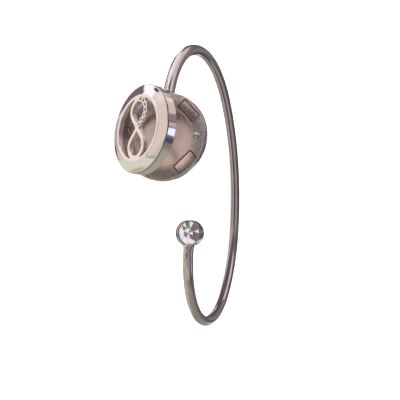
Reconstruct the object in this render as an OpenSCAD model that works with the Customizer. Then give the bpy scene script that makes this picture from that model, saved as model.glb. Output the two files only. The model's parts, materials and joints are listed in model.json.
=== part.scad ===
// Open wire cuff with a hinged, pierced scent locket on one end and a round crystal in a
// bezel cup on the other. Millimetres. The cuff is drawn flat, with its plane at Z = 0, the
// locket facing +X and the catch side of the locket up, and is then tipped as it rests on its side.

/* [Wire] */
// Diameter of the round wire
wire_d = 2.6; // [2.2:0.1:3]
// Size of the whole bend pattern, 1 for a medium wrist
cuff_size = 1; // [0.92:0.02:1.1]
// Direction in which the wire leaves the crystal's cup, in degrees from +X
wire_heading = 66.2; // [60:1:72]

/* [Locket base] */
// Diameter of the base
base_d = 20; // [19.8:0.1:20.6]
// Thickness of the base's rim
base_h = 1.8; // [1.7:0.1:2.4]
// Diameter of the recess that takes the scent pad
recess_d = 13.4; // [13:0.1:13.6]
// Depth of that recess
recess_h = 1; // [0.8:0.1:1.2]
// How far the locket's face leans back from the cuff's front, in degrees
locket_lean = 20.1; // [15:1:25]

/* [Magnets] */
// Length of a bar magnet
magnet_l = 5; // [4.6:0.1:5]
// Width of a bar magnet
magnet_w = 2; // [1.8:0.1:2]
// Thickness of a bar magnet
magnet_h = 0.9; // [0.7:0.1:1]
// Angle of each magnet above and below the catch, in degrees
magnet_angle = 45.4; // [42:1:50]
// Distance of the magnets' middle from the locket's axis
magnet_r = 8.07; // [8:0.01:8.1]

/* [Lid] */
// Diameter of the lid
lid_d = 19.4; // [19:0.1:19.6]
// Height of the lid's straight side
lid_side_h = 2.1; // [1.9:0.1:2.4]
// Height of the whole lid
lid_h = 3.05; // [2.9:0.05:3.4]
// Diameter of the window
window_d = 13.3; // [12.9:0.1:13.5]
// Width of the flat lip round the window
lip_w = 0.7; // [0.6:0.1:0.9]
// Thickness of the lid's face at the window
face_h = 1.1; // [1:0.1:1.6]
// How far the lid stands open, in degrees
lid_open = 29.4; // [0:1:90]

/* [Figure of eight] */
// Width of a strand
strand_w = 0.9; // [0.8:0.05:1.1]
// Radius of a loop's round end, to the middle of the strand
loop_r = 2.5; // [2.3:0.1:2.7]
// Outer diameter of the small rings that form one strand
ring_d = 1.36; // [1.3:0.02:1.4]
// Number of small rings
ring_count = 7; // [7:1:8]

/* [Crystal] */
// Diameter of the stone at its girdle
stone_d = 5.9; // [5.7:0.1:6]
// Thickness of the bezel cup's wall
cup_wall = 0.25; // [0.2:0.05:0.35]
// Depth of the bezel cup
cup_h = 3.25; // [3.2:0.05:3.6]

/* [Hinge] */
// Diameter of the hinge pin
pin_d = 0.8; // [0.7:0.05:0.8]
// Diameter of the knuckles
knuckle_d = 1.7; // [1.6:0.1:1.8]
// Length of the hinge from one outer knuckle's end to the other's
hinge_l = 6.2; // [5.6:0.2:6.4]

/* [Hidden] */
$fn = 96;

// A little more than nothing, for cuts that must pass a face
eps = 0.01;

wire_r = wire_d / 2;
base_r = base_d / 2;

// Bends of the wire, from the cup to the locket, all in one plane and all to the left
BEND_R = 0;
BEND_TURN = 1;
BENDS = [ // [radius of the centreline, turn in degrees]
    [18.1, 147.3],
    [30.5, 36.9],
    [47.9, 50.7],
    [28.2, 65.1],
    [20.1, 53.4]
];
wire_start = cuff_size * [17.2, 12.43];

function bend_r(i) = cuff_size * BENDS[i][BEND_R];
function heading(i) = i == 0 ? wire_heading : heading(i - 1) + BENDS[i - 1][BEND_TURN];
function leftwards(a) = [-sin(a), cos(a)];
function bend_centre(i) = place(i) + bend_r(i) * leftwards(heading(i));
function place(i) =
    i == 0 ? wire_start : bend_centre(i - 1) - bend_r(i - 1) * leftwards(heading(i));

// Where the wire stands in the crystal's cup: behind its front face and below its axis
cup_lean = 14.9;
cup_back = 1.2;
cup_drop = 2.9;

// Where the wire stands on the locket's base: behind its face and above its axis
seat_back = 1.37;
seat_up = base_r - 0.3;
locket_up = [-sin(locket_lean), -cos(locket_lean)];
locket_out = [cos(locket_lean), -sin(locket_lean)];
locket_at = place(len(BENDS)) - seat_up * locket_up + seat_back * locket_out;
cup_up = [-sin(cup_lean), -cos(cup_lean)];
cup_out = [cos(cup_lean), -sin(cup_lean)];
cup_at = wire_start + cup_drop * cup_up + cup_back * cup_out;

// Where two bends meet, a sleeve a hair wider than the wire covers the short gap between them
joint_r = wire_r + 0.02;
joint_l = 0.4;
joint_gap = 0.06;

// Solder flare at each end of the wire: its wide end, its narrow end inside the wire, its length
flare_r = wire_r + 0.25;
flare_end_r = wire_r - 0.15;
flare_l = 1.2;
flare_in = 0.2;

// Base: its broken edges, the magnets' pockets and the catch pip
front_edge = 0.2;
back_edge = 0.5;
pocket_gap = 0.12;
pocket_h = 1;
magnet_sunk = 0.05;
pip_x = 7.9;
pip_r = 0.7;
pip_base = 0.05;

// Hinge: its axis runs along Y in the locket's frame, at the parting plane Z = 0
hinge_x = -(base_r + 0.35);
knuckle_r = knuckle_d / 2;
middle_l = 1.9;
side_gap = 0.1;
room = 0.12;
ear_y = middle_l / 2 + side_gap;
ear_l = hinge_l / 2 - ear_y;
ear_web_x = hinge_x + 1.3;
strap_x = -7.2;
strap_h = 0.3;
pin_head_r = 0.62;
pin_head_h = 0.25;
ear_bore_r = pin_d / 2 + 0.02;
knuckle_bore_r = pin_d / 2 + 0.04;

// Lid, drawn shut in the locket's frame
lid_r = lid_d / 2;
lid_gap = 0.06;
window_r = window_d / 2;
lip_r = window_r + lip_w;
lip_step = 0.1;
lid_edge = 0.1;
hollow_r = 7.4;
knuckle_web_l = 1.5;
pip_socket_r = 0.9;
pip_socket_h = 0.95;

// Figure of eight, in the lid's face: straight bars that cross, tangent to two round ends that
// run a little into the lip
face_z = lid_h - face_h;
loop_y = window_r + 0.16 - strand_w / 2 - loop_r;
half_angle = asin(loop_r / loop_y);
bar_l = sqrt(loop_y * loop_y - loop_r * loop_r);
ring_wall = 0.32;
ring_h = 0.55;
path_l = bar_l + loop_r * (90 + half_angle) * PI / 180;
first_ring = strand_w / 2 + ring_d / 2 - 0.2;
last_ring = path_l - ring_d / 2 + 0.2;
ring_pitch = (last_ring - first_ring) / (ring_count - 1);

// Point s along the upper right strand, from the crossing to the top of the loop
function end_angle(s) = (s - bar_l) / loop_r * 180 / PI - half_angle;
function on_strand(s) = s < bar_l
    ? s * [sin(half_angle), cos(half_angle)]
    : [loop_r * cos(end_angle(s)), loop_y + loop_r * sin(end_angle(s))];

// Stone and its seat
stone_r = stone_d / 2;
bore_r = stone_r + 0.05;
cup_r = bore_r + cup_wall;
stone_sunk = 0.2;
crown_h = 0.6;
girdle_h = 0.12;
pavilion_h = 1.7;
table_r = 0.56 * stone_r;
star_r = 0.74 * stone_r;
lower_r = 0.3 * stone_r;
SIDES = 8;
cup_edge = 0.15;
cup_back_edge = 0.3;
rim_fold = 0.08;
rim_h = 0.6;
seat_ledge = 0.35;
stone_gap = 0.04;
ledge_z = -(stone_sunk + crown_h + girdle_h + pavilion_h * seat_ledge / stone_r + stone_gap);
well_z = -(stone_sunk + crown_h + girdle_h + pavilion_h + stone_gap);

// The cuff lies on its side, on both outer knuckles and on the back of the wire, where the
// bend REST_BEND runs along the hinge: it tips about the hinge's direction until both touch
REST_BEND = 2;
hinge_way = [sin(locket_lean), cos(locket_lean), 0];
back_at = bend_centre(REST_BEND) * locket_out - bend_r(REST_BEND);
rest_run = locket_at * locket_out - back_at;
rest_tip = atan2(-hinge_x, rest_run) - asin((joint_r - knuckle_r) / norm([rest_run, hinge_x]));
rest_z = joint_r - back_at * sin(rest_tip);

// Middle of the whole part from above, with the lid open as in the photo; the origin is under it
middle = [7.89, 1.53];

module at_rest()
    translate([-middle.x, -middle.y, rest_z]) rotate(a = -rest_tip, v = hinge_way) children();

// Carries children drawn in the locket's frame (X to the catch, Y up, Z out of the face) there
module on_locket()
    translate([locket_at.x, locket_at.y, 0]) rotate([0, -90, 180 - locket_lean]) children();

// The same for the crystal's cup
module on_cup()
    translate([cup_at.x, cup_at.y, 0]) rotate([0, -90, 180 - cup_lean]) children();

// Cylinder about the hinge's axis from y, l long
module about_hinge(r, y, l) translate([hinge_x, y, 0]) rotate([-90, 0, 0]) cylinder(h = l, r = r);

module both_ears() {
    children();
    mirror([0, 1, 0]) children();
}

module wire() {
    for (i = [0 : len(BENDS) - 1]) {
        c = bend_centre(i);
        trim = joint_gap / bend_r(i) * 180 / PI;
        translate([c.x, c.y, 0]) rotate([0, 0, heading(i) - 90 + trim])
            rotate_extrude(angle = BENDS[i][BEND_TURN] - 2 * trim)
                translate([bend_r(i), 0]) circle(d = wire_d);
    }
    for (i = [1 : len(BENDS) - 1])
        translate([place(i).x, place(i).y, 0]) rotate([0, 90, heading(i)])
            cylinder(h = joint_l, r = joint_r, center = true);
}

// Cone of solder round the wire's end at p, running off along angle a
module flare(p, a)
    translate([p.x, p.y, 0]) rotate([0, 90, a]) translate([0, 0, -flare_in])
        cylinder(h = flare_l, r1 = flare_r, r2 = flare_end_r);

module base_dish()
    rotate_extrude() polygon([
        [0, -base_h],
        [base_r - back_edge, -base_h],
        [base_r, back_edge - base_h],
        [base_r, -front_edge],
        [base_r - front_edge, 0],
        [0, 0]
    ]);

module recess() translate([0, 0, -recess_h]) cylinder(h = recess_h + 1, d = recess_d);

// Block of a magnet's size plus gap all round, sunk by depth below the face at turn a
module bar_at(a, gap, depth, h)
    rotate([0, 0, a]) translate([magnet_r, 0, h / 2 - depth])
        cube([magnet_w + 2 * gap, magnet_l + 2 * gap, h], center = true);

module pip() translate([pip_x, 0, pip_base]) sphere(r = pip_r);

// One ear: its knuckle, the web into the rim and the strap that lies on the rim
module ear() {
    about_hinge(knuckle_r, ear_y, ear_l);
    translate([hinge_x, ear_y, -knuckle_r]) cube([ear_web_x - hinge_x, ear_l, knuckle_r]);
    translate([hinge_x, ear_y, 0]) cube([strap_x - hinge_x, ear_l, strap_h]);
}

module cup_body()
    rotate_extrude() polygon([
        [0, -cup_h],
        [cup_r - cup_back_edge, -cup_h],
        [cup_r, cup_back_edge - cup_h],
        [cup_r, -cup_edge],
        [cup_r - cup_edge, 0],
        [0, 0]
    ]);

// From the front: the mouth inside the folded rim, the bore for the girdle, the well for the point
module cup_hollow() {
    translate([0, 0, -rim_h - eps]) cylinder(h = cup_h, r = bore_r - rim_fold);
    translate([0, 0, ledge_z]) cylinder(h = -rim_h - ledge_z, r = bore_r);
    translate([0, 0, well_z]) cylinder(h = ledge_z - well_z + eps, r = bore_r - seat_ledge);
}

module cuff() color([0.46, 0.43, 0.44]) at_rest() difference() {
    union() {
        wire();
        flare(wire_start, heading(0));
        flare(place(len(BENDS)), heading(len(BENDS)) + 180);
        on_locket() {
            base_dish();
            pip();
            both_ears() ear();
        }
        on_cup() cup_body();
    }
    on_cup() cup_hollow();
    on_locket() {
        // the wire's end is filed flush with the face
        translate([-base_r / 2, base_r / 2, 0]) cube([base_r, base_r, wire_d]);
        recess();
        bar_at(magnet_angle, pocket_gap, pocket_h, pocket_h + 1);
        bar_at(-magnet_angle, pocket_gap, pocket_h, pocket_h + 1);
        about_hinge(knuckle_r + room, -middle_l / 2 - side_gap, middle_l + 2 * side_gap);
        about_hinge(ear_bore_r, -hinge_l, 2 * hinge_l);
    }
}

module magnet_upper() color([0.62, 0.52, 0.5]) at_rest() on_locket()
    bar_at(magnet_angle, 0, magnet_h + magnet_sunk, magnet_h);

module magnet_lower() color([0.62, 0.52, 0.5]) at_rest() on_locket()
    bar_at(-magnet_angle, 0, magnet_h + magnet_sunk, magnet_h);

module hinge_pin() color([0.6, 0.6, 0.63]) at_rest() on_locket() {
    reach = hinge_l / 2 + 0.03;
    about_hinge(pin_d / 2, -reach - pin_head_h / 2, 2 * reach + pin_head_h);
    both_ears() about_hinge(pin_head_r, reach, pin_head_h);
}

// Round cut stone, its table at Z = 0: crown, thin girdle and pavilion
module brilliant() {
    step = 360 / SIDES;
    girdle_n = 2 * SIDES;
    depth = crown_h + girdle_h + pavilion_h;
    cos_half = cos(step / 2);
    star_z = (table_r - star_r * cos_half) * crown_h / (stone_r - table_r);
    lower_z = lower_r * cos_half * pavilion_h / stone_r - depth;
    star = SIDES;
    top = 2 * SIDES;
    under = top + girdle_n;
    deep = under + girdle_n;
    culet = deep + SIDES;
    function around(r, a, z) = [r * cos(a), r * sin(a), z];
    function prev(k) = (k + SIDES - 1) % SIDES;
    function next(k) = (k + 1) % SIDES;
    function wrap(j) = j % girdle_n;
    polyhedron(
        points = concat(
            [for (k = [0 : SIDES - 1]) around(table_r, k * step, 0)],
            [for (k = [0 : SIDES - 1]) around(star_r, (k + 0.5) * step, star_z)],
            [for (j = [0 : girdle_n - 1]) around(stone_r, j * step / 2, -crown_h)],
            [for (j = [0 : girdle_n - 1]) around(stone_r, j * step / 2, -crown_h - girdle_h)],
            [for (k = [0 : SIDES - 1]) around(lower_r, (k + 0.5) * step, lower_z)],
            [[0, 0, -depth]]
        ),
        faces = concat(
            [[for (k = [SIDES - 1 : -1 : 0]) k]],
            [for (k = [0 : SIDES - 1]) [k, next(k), star + k]],
            [for (k = [0 : SIDES - 1]) [k, star + k, top + 2 * k, star + prev(k)]],
            [for (k = [0 : SIDES - 1]) [star + k, top + 2 * k + 1, top + 2 * k]],
            [for (k = [0 : SIDES - 1]) [star + k, top + wrap(2 * k + 2), top + 2 * k + 1]],
            [for (j = [0 : girdle_n - 1])
                [top + j, top + wrap(j + 1), under + wrap(j + 1), under + j]],
            [for (k = [0 : SIDES - 1]) [deep + k, under + 2 * k, under + 2 * k + 1]],
            [for (k = [0 : SIDES - 1])
                [deep + k, under + 2 * k + 1, under + wrap(2 * k + 2)]],
            [for (k = [0 : SIDES - 1]) [culet, deep + prev(k), under + 2 * k, deep + k]]
        )
    );
}

module crystal() color([0.9, 0.93, 0.95]) at_rest() on_cup()
    translate([0, 0, -stone_sunk]) brilliant();

module lid_ring()
    rotate_extrude() polygon([
        [window_r, face_z],
        [hollow_r, face_z],
        [hollow_r, lid_gap],
        [lid_r, lid_gap],
        [lid_r, lid_side_h],
        [lid_r - lid_edge, lid_side_h + lid_edge],
        [lip_r, lid_h - lip_step],
        [lip_r, lid_h],
        [window_r, lid_h]
    ]);

// Round part of a strand about the middle of a loop at y, from angle a on
module strand_arc(y, a, turn)
    translate([0, y, face_z]) rotate([0, 0, a]) rotate_extrude(angle = turn)
        translate([loop_r - strand_w / 2, 0]) square([strand_w, face_h]);

module strand_bar(a, back, l)
    rotate([0, 0, a]) translate([-back, -strand_w / 2, face_z]) cube([back + l, strand_w, face_h]);

module small_ring(p) translate([p.x, p.y, lid_h - ring_h]) difference() {
    cylinder(h = ring_h, d = ring_d);
    translate([0, 0, -1]) cylinder(h = ring_h + 2, d = ring_d - 2 * ring_wall);
}

module figure_of_eight() {
    strand_arc(loop_y, 90, 90 + half_angle);
    strand_arc(-loop_y, 180 - half_angle, 180 + 2 * half_angle);
    strand_bar(90 + half_angle, bar_l, bar_l);
    strand_bar(270 - half_angle, 0, bar_l);
    for (i = [0 : ring_count - 1]) small_ring(on_strand(first_ring + i * ring_pitch));
}

module middle_knuckle() {
    about_hinge(knuckle_r, -middle_l / 2, middle_l);
    translate([hinge_x, -middle_l / 2, lid_gap])
        cube([knuckle_web_l, middle_l, knuckle_r - lid_gap]);
}

// Turns children drawn with the lid shut to where the lid stands open
module opened()
    translate([hinge_x, 0, 0]) rotate([0, -lid_open, 0]) translate([-hinge_x, 0, 0]) children();

module lid() color([0.78, 0.7, 0.66]) at_rest() on_locket() opened() difference() {
    union() {
        lid_ring();
        figure_of_eight();
        middle_knuckle();
    }
    both_ears() {
        about_hinge(knuckle_r + room, ear_y - side_gap, ear_l + 2 * side_gap);
        translate([hinge_x, ear_y - side_gap, -room])
            cube([strap_x + room - hinge_x, ear_l + 2 * side_gap, strap_h + 2 * room]);
    }
    translate([pip_x, 0, 0]) cylinder(h = pip_socket_h, r = pip_socket_r);
    about_hinge(knuckle_bore_r, -middle_l, 2 * middle_l);
}

cuff();
magnet_upper();
magnet_lower();
hinge_pin();
crystal();
lid();
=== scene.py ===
# Looks of an open wire cuff with a hinged, pierced scent locket on one end and a crystal in a
# bezel cup on the other. Each piece is drawn in millimetres in the frame of what carries it: the
# wire's plan, the locket, the lid or the cup. A frame's matrix takes it to metres, where it rests.

import json
from math import asin, atan2, ceil, cos, pi, radians, sin, sqrt, tan

import bmesh
import bpy
import numpy as np
from mathutils import Matrix, Vector
from mathutils.geometry import delaunay_2d_cdt


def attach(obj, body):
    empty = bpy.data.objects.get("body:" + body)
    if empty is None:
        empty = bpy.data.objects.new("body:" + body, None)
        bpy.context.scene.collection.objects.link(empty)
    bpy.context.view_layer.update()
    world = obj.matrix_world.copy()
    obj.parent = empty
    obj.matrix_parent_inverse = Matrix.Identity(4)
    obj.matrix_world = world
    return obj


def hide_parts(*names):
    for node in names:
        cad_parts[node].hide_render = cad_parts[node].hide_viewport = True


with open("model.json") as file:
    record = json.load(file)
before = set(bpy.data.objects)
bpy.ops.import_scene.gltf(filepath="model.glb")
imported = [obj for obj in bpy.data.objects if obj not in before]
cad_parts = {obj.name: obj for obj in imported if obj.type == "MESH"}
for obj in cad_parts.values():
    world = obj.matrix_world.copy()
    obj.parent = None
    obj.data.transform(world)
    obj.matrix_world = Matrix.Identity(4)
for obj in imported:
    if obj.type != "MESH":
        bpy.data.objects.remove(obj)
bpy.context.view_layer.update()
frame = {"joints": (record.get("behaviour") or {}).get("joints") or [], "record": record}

MM = 0.001

# Wire: bends of its middle line in the plan, from the cup to the locket
WIRE_R = 1.3
WIRE_START = Vector((17.2, 12.43, 0))
WIRE_HEADING = 66.2
BEND_R, BEND_TURN = 0, 1
BENDS = [  # [radius of the middle line, turn in degrees]
    [18.1, 147.3],
    [30.5, 36.9],
    [47.9, 50.7],
    [28.2, 65.1],
    [20.1, 53.4],
]
WIRE_TRIM = 0.12
WIRE_TIP = [[0.06, 0.6], [0.04, 0.85], [0, 1]]  # [distance past the end, share of the radius]
FLARE = 0.22
FLARE_L = 1.1

# Where the wire stands in the cup and on the locket's base
CUP_LEAN = 14.9
CUP_BACK = 1.2
CUP_DROP = 2.9
SEAT_BACK = 1.37
SEAT_UP = 9.7
SEAT_SUNK = 0.02
SEAT_REACH = 1.5

# Locket's base
BASE_R = 10
BASE_H = 1.8
RECESS_R = 6.7
RECESS_H = 1
RECESS_CORNER = 0.18
RECESS_ROUND = 0.12
BASE_ROUND = 0.2
BACK_ROUND = 0.45
PIP_X = 7.9
PIP_R = 0.7
PIP_UP = 0.05
PIP_FOOT = 0.12
PIP_FILLET = [[0.14, -0.1], [0.12, 0.01], [0.04, 0.05]]  # [distance past the dome, height]

# Magnets and their pockets
MAGNET_L = 5
MAGNET_W = 2
MAGNET_H = 0.9
MAGNET_R = 8.07
MAGNET_ANGLE = 45.4
MAGNET_SUNK = 0.05
MAGNET_CORNER = 0.12
MAGNET_ROUND = 0.1
POCKET_GAP = 0.12
POCKET_H = 1
POCKET_LIP = 0.08

# Hinge, its axis along Y at the parting plane
HINGE_X = -10.35
KNUCKLE_R = 0.85
MIDDLE_L = 1.9
SIDE_GAP = 0.1
HINGE_L = 6.2
ROOM = 0.12
ROOM_ROUND = 0.05
PIN_R = 0.4
PIN_PROUD = 0.03
PIN_NECK_ROUND = 0.03
PIN_HEAD_R = 0.62
PIN_HEAD_H = 0.25
PIN_HEAD_ROUND = 0.2
EAR_PLAY = 0.02
KNUCKLE_PLAY = 0.04
KNUCKLE_ROUND = 0.06
STRAP_X = -7.2
STRAP_H = 0.3
STRAP_SUNK = 0.06
STRAP_ROUND = 0.12
EAR_ROUND = 0.1
EAR_EDGE = 0.08
EAR_WEB_X = -9.05
KNUCKLE_WEB_L = 1.5
EAR_Y = MIDDLE_L / 2 + SIDE_GAP

# Lid, drawn shut
LID_R = 9.7
LID_GAP = 0.06
LID_H = 3.05
BEVEL_Z = 2.17
BEVEL_BULGE = 0.06
LID_EDGE = 0.25
LID_BACK_ROUND = 0.1
LIP_R = 7.35
LIP_STEP = 0.1
LIP_ROUND = 0.05
LIP_CORNER = 0.03
WINDOW_R = 6.65
HOLLOW_R = 7.4
HOLLOW_ROUND = 0.08
HOLLOW_CORNER = 0.1
FACE_H = 1.1
FACE_Z = LID_H - FACE_H
SOCKET_R = 0.9
SOCKET_H = 0.95
CUTTER_ROUND = 0.001

# Figure of eight: straight bars that cross, tangent to round ends that run into the lip
STRAND_W = 0.9
LOOP_R = 2.5
STRAND_OVERLAP = 0.16
LOOP_Y = WINDOW_R + STRAND_OVERLAP - STRAND_W / 2 - LOOP_R
HALF_ANGLE = asin(LOOP_R / LOOP_Y)
BAR_L = sqrt(LOOP_Y ** 2 - LOOP_R ** 2)
STRAND_ROUND = 0.16
STRAND_UNDER = 0.1
STRAND_BLEND = 0.3
RING_R = 0.68
RING_HOLE_R = 0.36
RING_H = 0.55
RING_ROUND = 0.05
RING_COUNT = 7
RING_OVERLAP = 0.2
PATH_L = BAR_L + LOOP_R * (pi / 2 + HALF_ANGLE)
FIRST_RING = STRAND_W / 2 + RING_R - RING_OVERLAP
LAST_RING = PATH_L - RING_R + RING_OVERLAP

# Cup and stone
CUP_R = 3.25
CUP_H = 3.25
MOUTH_R = 2.92
BORE_R = 3
WELL_R = 2.65
RIM_H = 0.6
LEDGE_Z = -1.16
WELL_Z = -2.66
CUP_ROUND = 0.35
RIM_ROUND = 0.09
MOUTH_ROUND = 0.1
LEDGE_ROUND = 0.04
WELL_ROUND = 0.1
STONE_R = 2.95
TABLE_R = 0.56 * STONE_R
STAR_R = 0.74 * STONE_R
LOWER_R = 0.3 * STONE_R
STONE_SUNK = 0.2
CROWN_H = 0.6
GIRDLE_H = 0.12
PAVILION_H = 1.7
SIDES = 8
FOIL_R = 2.93
FOIL_STAR_R = 1.3
FOIL_RIM_Z = -0.66
FOIL_STAR_RISE = 0.34
FOIL_HEART_RISE = 0.44
FOIL_H = 0.3
WHITE = (1, 1, 1)
ROSE = (1, 0.84, 0.8)
CREAM = (1, 0.98, 0.88)
ICE = (0.8, 0.9, 1)
OLIVE = (0.3, 0.3, 0.26)
SLATE = (0.2, 0.19, 0.24)
PLUM = (0.25, 0.17, 0.22)
# Painted reflections: each foil facet is tinted as if it mirrored its own part of the room.
FOIL_PAINTED_REFLECTIONS = [  # round the stone from its right: two rim facets, the star facet, the heart
    [ROSE, SLATE, PLUM, ROSE],
    [SLATE, CREAM, SLATE, OLIVE],
    [SLATE, ROSE, OLIVE, ROSE],
    [ROSE, WHITE, SLATE, ICE],
    [ICE, ICE, WHITE, OLIVE],
    [CREAM, CREAM, ICE, SLATE],
    [WHITE, ROSE, ROSE, ROSE],
    [PLUM, PLUM, PLUM, PLUM],
]

# How finely round things are drawn
ROUND = 224
CUP_SIDES = 128
CUTTER_SIDES = 96
SMALL_ROUND = 48
WIRE_SIDES = 56
WIRE_STEP = 0.7
KNUCKLE_STEPS = 26
PIP_STEPS = 10
BEVEL_STEPS = 6
FILLET_STEP = radians(15)
FIELD_STEP = 0.05
FIELD_HALF = 1.1 * WINDOW_R
OUTLINE_STEP = 0.06
SETTLE_ROUNDS = 4
WELD = 1e-4
TINY = 1e-6
APART = 0.01  # between places that mustn't coincide
CDT_INSIDE = 1  # for triangles inside the outlines
SHARP = 32  # degrees between faces from which an edge stays sharp
SMALL_SHARP = 40
PIP_SHARP = 50
FACE_WEIGHT = 90  # above 50, larger faces bend the normals less
STRETCH_LEAST = 0.5  # grown outlines move a sharp corner by at most 1 over this
GRAIN_LOW, GRAIN_HIGH = 0.3, 0.7  # noise lies mostly between these

# Camera, at the photograph's angle to the cuff
VIEW_AZIMUTH = radians(-12.1907)
VIEW_ELEVATION = radians(28.7655)
VIEW_ROLL = radians(90.3191)
VIEW_TARGET = Vector((-0.2966, 1.5882, 6.6277)) * MM
VIEW_DISTANCE = 171.485 * MM
LENS = 59.653
SENSOR = 36
CLIP_START = 0.005
CLIP_END = 100

# Floor and lamp, in metres
FLOOR_HALF = 8
FLOOR_TONE = (0.9, 0.9, 0.9, 1)
FLOOR_GLOW = 0.75
LAMP_SIZE = 0.5
LAMP_ENERGY = 2
LAMP_Z = 0.6

# What the polished metal mirrors. A card's place is the surface direction (right, up) at which
# metal mirrors its middle into the photograph's view, and so are its half width and half height,
# before its turn. Its edge fades over the softness, a share of its half size. Later cards cover
# earlier ones.
ROOM_TONE = (0.15, 0.135, 0.15)
CARD_AT, CARD_HALF, CARD_TURN, CARD_SOFT, CARD_TONE = range(5)
CARDS = [  # [middle, half size, turn in degrees, softness, tone]
    [(0.2, -0.7), (0.8, 0.35), 0, 0.25, (0.4, 0.38, 0.32)],
    [(0.68, -0.36), (0.2, 0.22), 0, 0.3, (0.22, 0.21, 0.2)],
    [(-0.65, -0.5), (0.4, 0.42), 0, 0.25, (0.62, 0.62, 0.53)],
    [(-0.5, -0.1), (0.34, 0.2), 0, 0.2, (0.64, 0.59, 0.51)],
    [(0.16, -0.12), (0.24, 0.2), 0, 0.25, (0.38, 0.34, 0.31)],
    [(-0.04, -0.2), (0.2, 0.26), 0, 0.3, (0.44, 0.41, 0.35)],
    [(0.26, 0.31), (0.34, 0.1), -6, 0.25, (0.8, 0.6, 0.58)],
    [(0.34, 0.42), (0.18, 0.2), 0, 0.3, (1.1, 0.92, 0.93)],
    [(-0.3, -0.24), (0.42, 0.08), 0, 0.3, (0.68, 0.67, 0.57)],
    [(-0.32, 0.34), (0.24, 0.1), 0, 0.3, (0.2, 0.16, 0.18)],
    [(-0.33, 0.13), (0.16, 0.11), 0, 0.3, (0.78, 0.66, 0.61)],
    [(0.72, 0.1), (0.24, 0.12), -10, 0.25, (0.1, 0.07, 0.08)],
    [(0.36, 0.62), (0.34, 0.2), -28, 0.12, (0.95, 0.82, 0.74)],
    [(0.6, 0.52), (0.06, 0.2), 10, 0.3, (0.7, 0.57, 0.5)],
    [(-0.16, 0.66), (0.34, 0.19), 16, 0.12, (1.4, 1.4, 1.45)],
    [(-0.05, 0.62), (0.03, 0.24), -14, 0.4, (0.2, 0.16, 0.18)],
    [(-0.75, 0.2), (0.3, 0.26), 0, 0.1, (0.8, 0.69, 0.59)],
    [(-0.73, 0.2), (0.13, 0.14), 0, 0.2, (0.98, 0.85, 0.78)],
    [(-0.91, 0.26), (0.06, 0.26), 12, 0.2, (0.46, 0.43, 0.45)],
    [(-0.52, 0.36), (0.1, 0.3), 0, 0.15, (0.8, 0.68, 0.6)],
    [(-0.76, 0.5), (0.15, 0.06), 40, 0.2, (0.17, 0.15, 0.2)],
    [(-0.51, 0.5), (0.07, 0.13), -24, 0.3, (0.88, 0.84, 0.82)],
    [(-0.6, 0.54), (0.05, 0.14), -22, 0.15, (1.15, 1.15, 1.17)],
    [(-0.535, 0.52), (0.03, 0.03), -30, 0.3, (0.05, 0.045, 0.06)],
    [(-0.95, 0.06), (0.025, 0.09), 0, 0.3, (0.1, 0.08, 0.1)],
    [(-0.8, -0.11), (0.22, 0.09), 0, 0.2, (0.74, 0.76, 0.67)],
    [(-0.62, -0.07), (0.07, 0.012), -30, 0.4, (0.4, 0.4, 0.32)],
    [(-0.74, -0.18), (0.06, 0.035), 0, 0.5, (0.6, 0.46, 0.26)],
    [(0.66, 0.27), (0.05, 0.11), 0, 0.15, (0.26, 0.22, 0.26)],
    [(0.66, 0.1), (0.05, 0.06), 0, 0.2, (0.56, 0.45, 0.42)],
    [(0.65, -0.08), (0.05, 0.11), 0, 0.15, (1.0, 1.1, 1.3)],
    [(0.65, -0.09), (0.02, 0.04), 0, 0.3, (0.12, 0.14, 0.3)],
    [(0.6, -0.27), (0.05, 0.07), 0, 0.2, (0.07, 0.08, 0.16)],
    [(0.7, -0.7), (0.34, 0.06), 45, 0.3, (0.9, 0.93, 0.86)],
    [(0.93, 0.12), (0.04, 0.2), 0, 0.3, (0.3, 0.3, 0.31)],
    [(-0.35, 0.01), (0.12, 0.045), 0, 0.25, (0.13, 0.1, 0.1)],
    [(0.85, 0.36), (0.12, 0.24), 0, 0.3, (0.26, 0.25, 0.28)],
    [(0.54, 0.74), (0.15, 0.05), -38, 0.3, (0.2, 0.18, 0.2)],
    [(-0.3, 0.88), (0.14, 0.06), 20, 0.3, (1.3, 1.3, 1.35)],
]

# Dark card across the cuff's hollow and beyond it, edge on to the view: corners in the view's
# right and back directions, at one height. The low part of the wire mirrors its underside.
FLAG_CORNERS = [(-22, -45), (36, -45), (36, -21), (17, -21), (17, -2), (-22, -2)]
FLAG_UP = -2
FLAG_TONE = (0.16, 0.125, 0.15)

# Card for the stone: its way from the stone in the view's right, up and back directions
GLINT_WAY = (-0.72, 0.04, 0.69)
GLINT_AWAY = 30
GLINT_HALF = 19
GLINT_TONE = (0.95, 0.92, 0.92)

# Narrow cards round the far stretch of the wire, which it alone mirrors: each from one share to
# another of the half width that the photograph's view shows of it, left to right. Their stretch
# and their fading ends are in millimetres along the wire, their reach is from its middle line.
STRIP_REACH = 6
STRIPS_FROM = 60
STRIPS_TO = 121
STRIPS_FADE = 12
STRIPS = [  # [from, to, tone]
    [-0.76, -0.56, (0.34, 0.3, 0.29)],
    [-0.56, -0.3, (0.62, 0.56, 0.52)],
    [-0.3, -0.08, (0.1, 0.075, 0.08)],
    [-0.08, 0.14, (0.28, 0.25, 0.25)],
    [0.14, 0.38, (0.52, 0.46, 0.45)],
    [0.38, 0.6, (0.18, 0.16, 0.17)],
    [0.6, 0.97, (0.11, 0.1, 0.12)],
]


# Frames


def axes(x, y, z, at):
    """Matrix of the frame with these axes and its origin at at."""
    return Matrix.Translation(at) @ Matrix((x, y, z)).transposed().to_4x4()


def leftwards(heading):
    return Vector((-sin(heading), cos(heading), 0))


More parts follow.
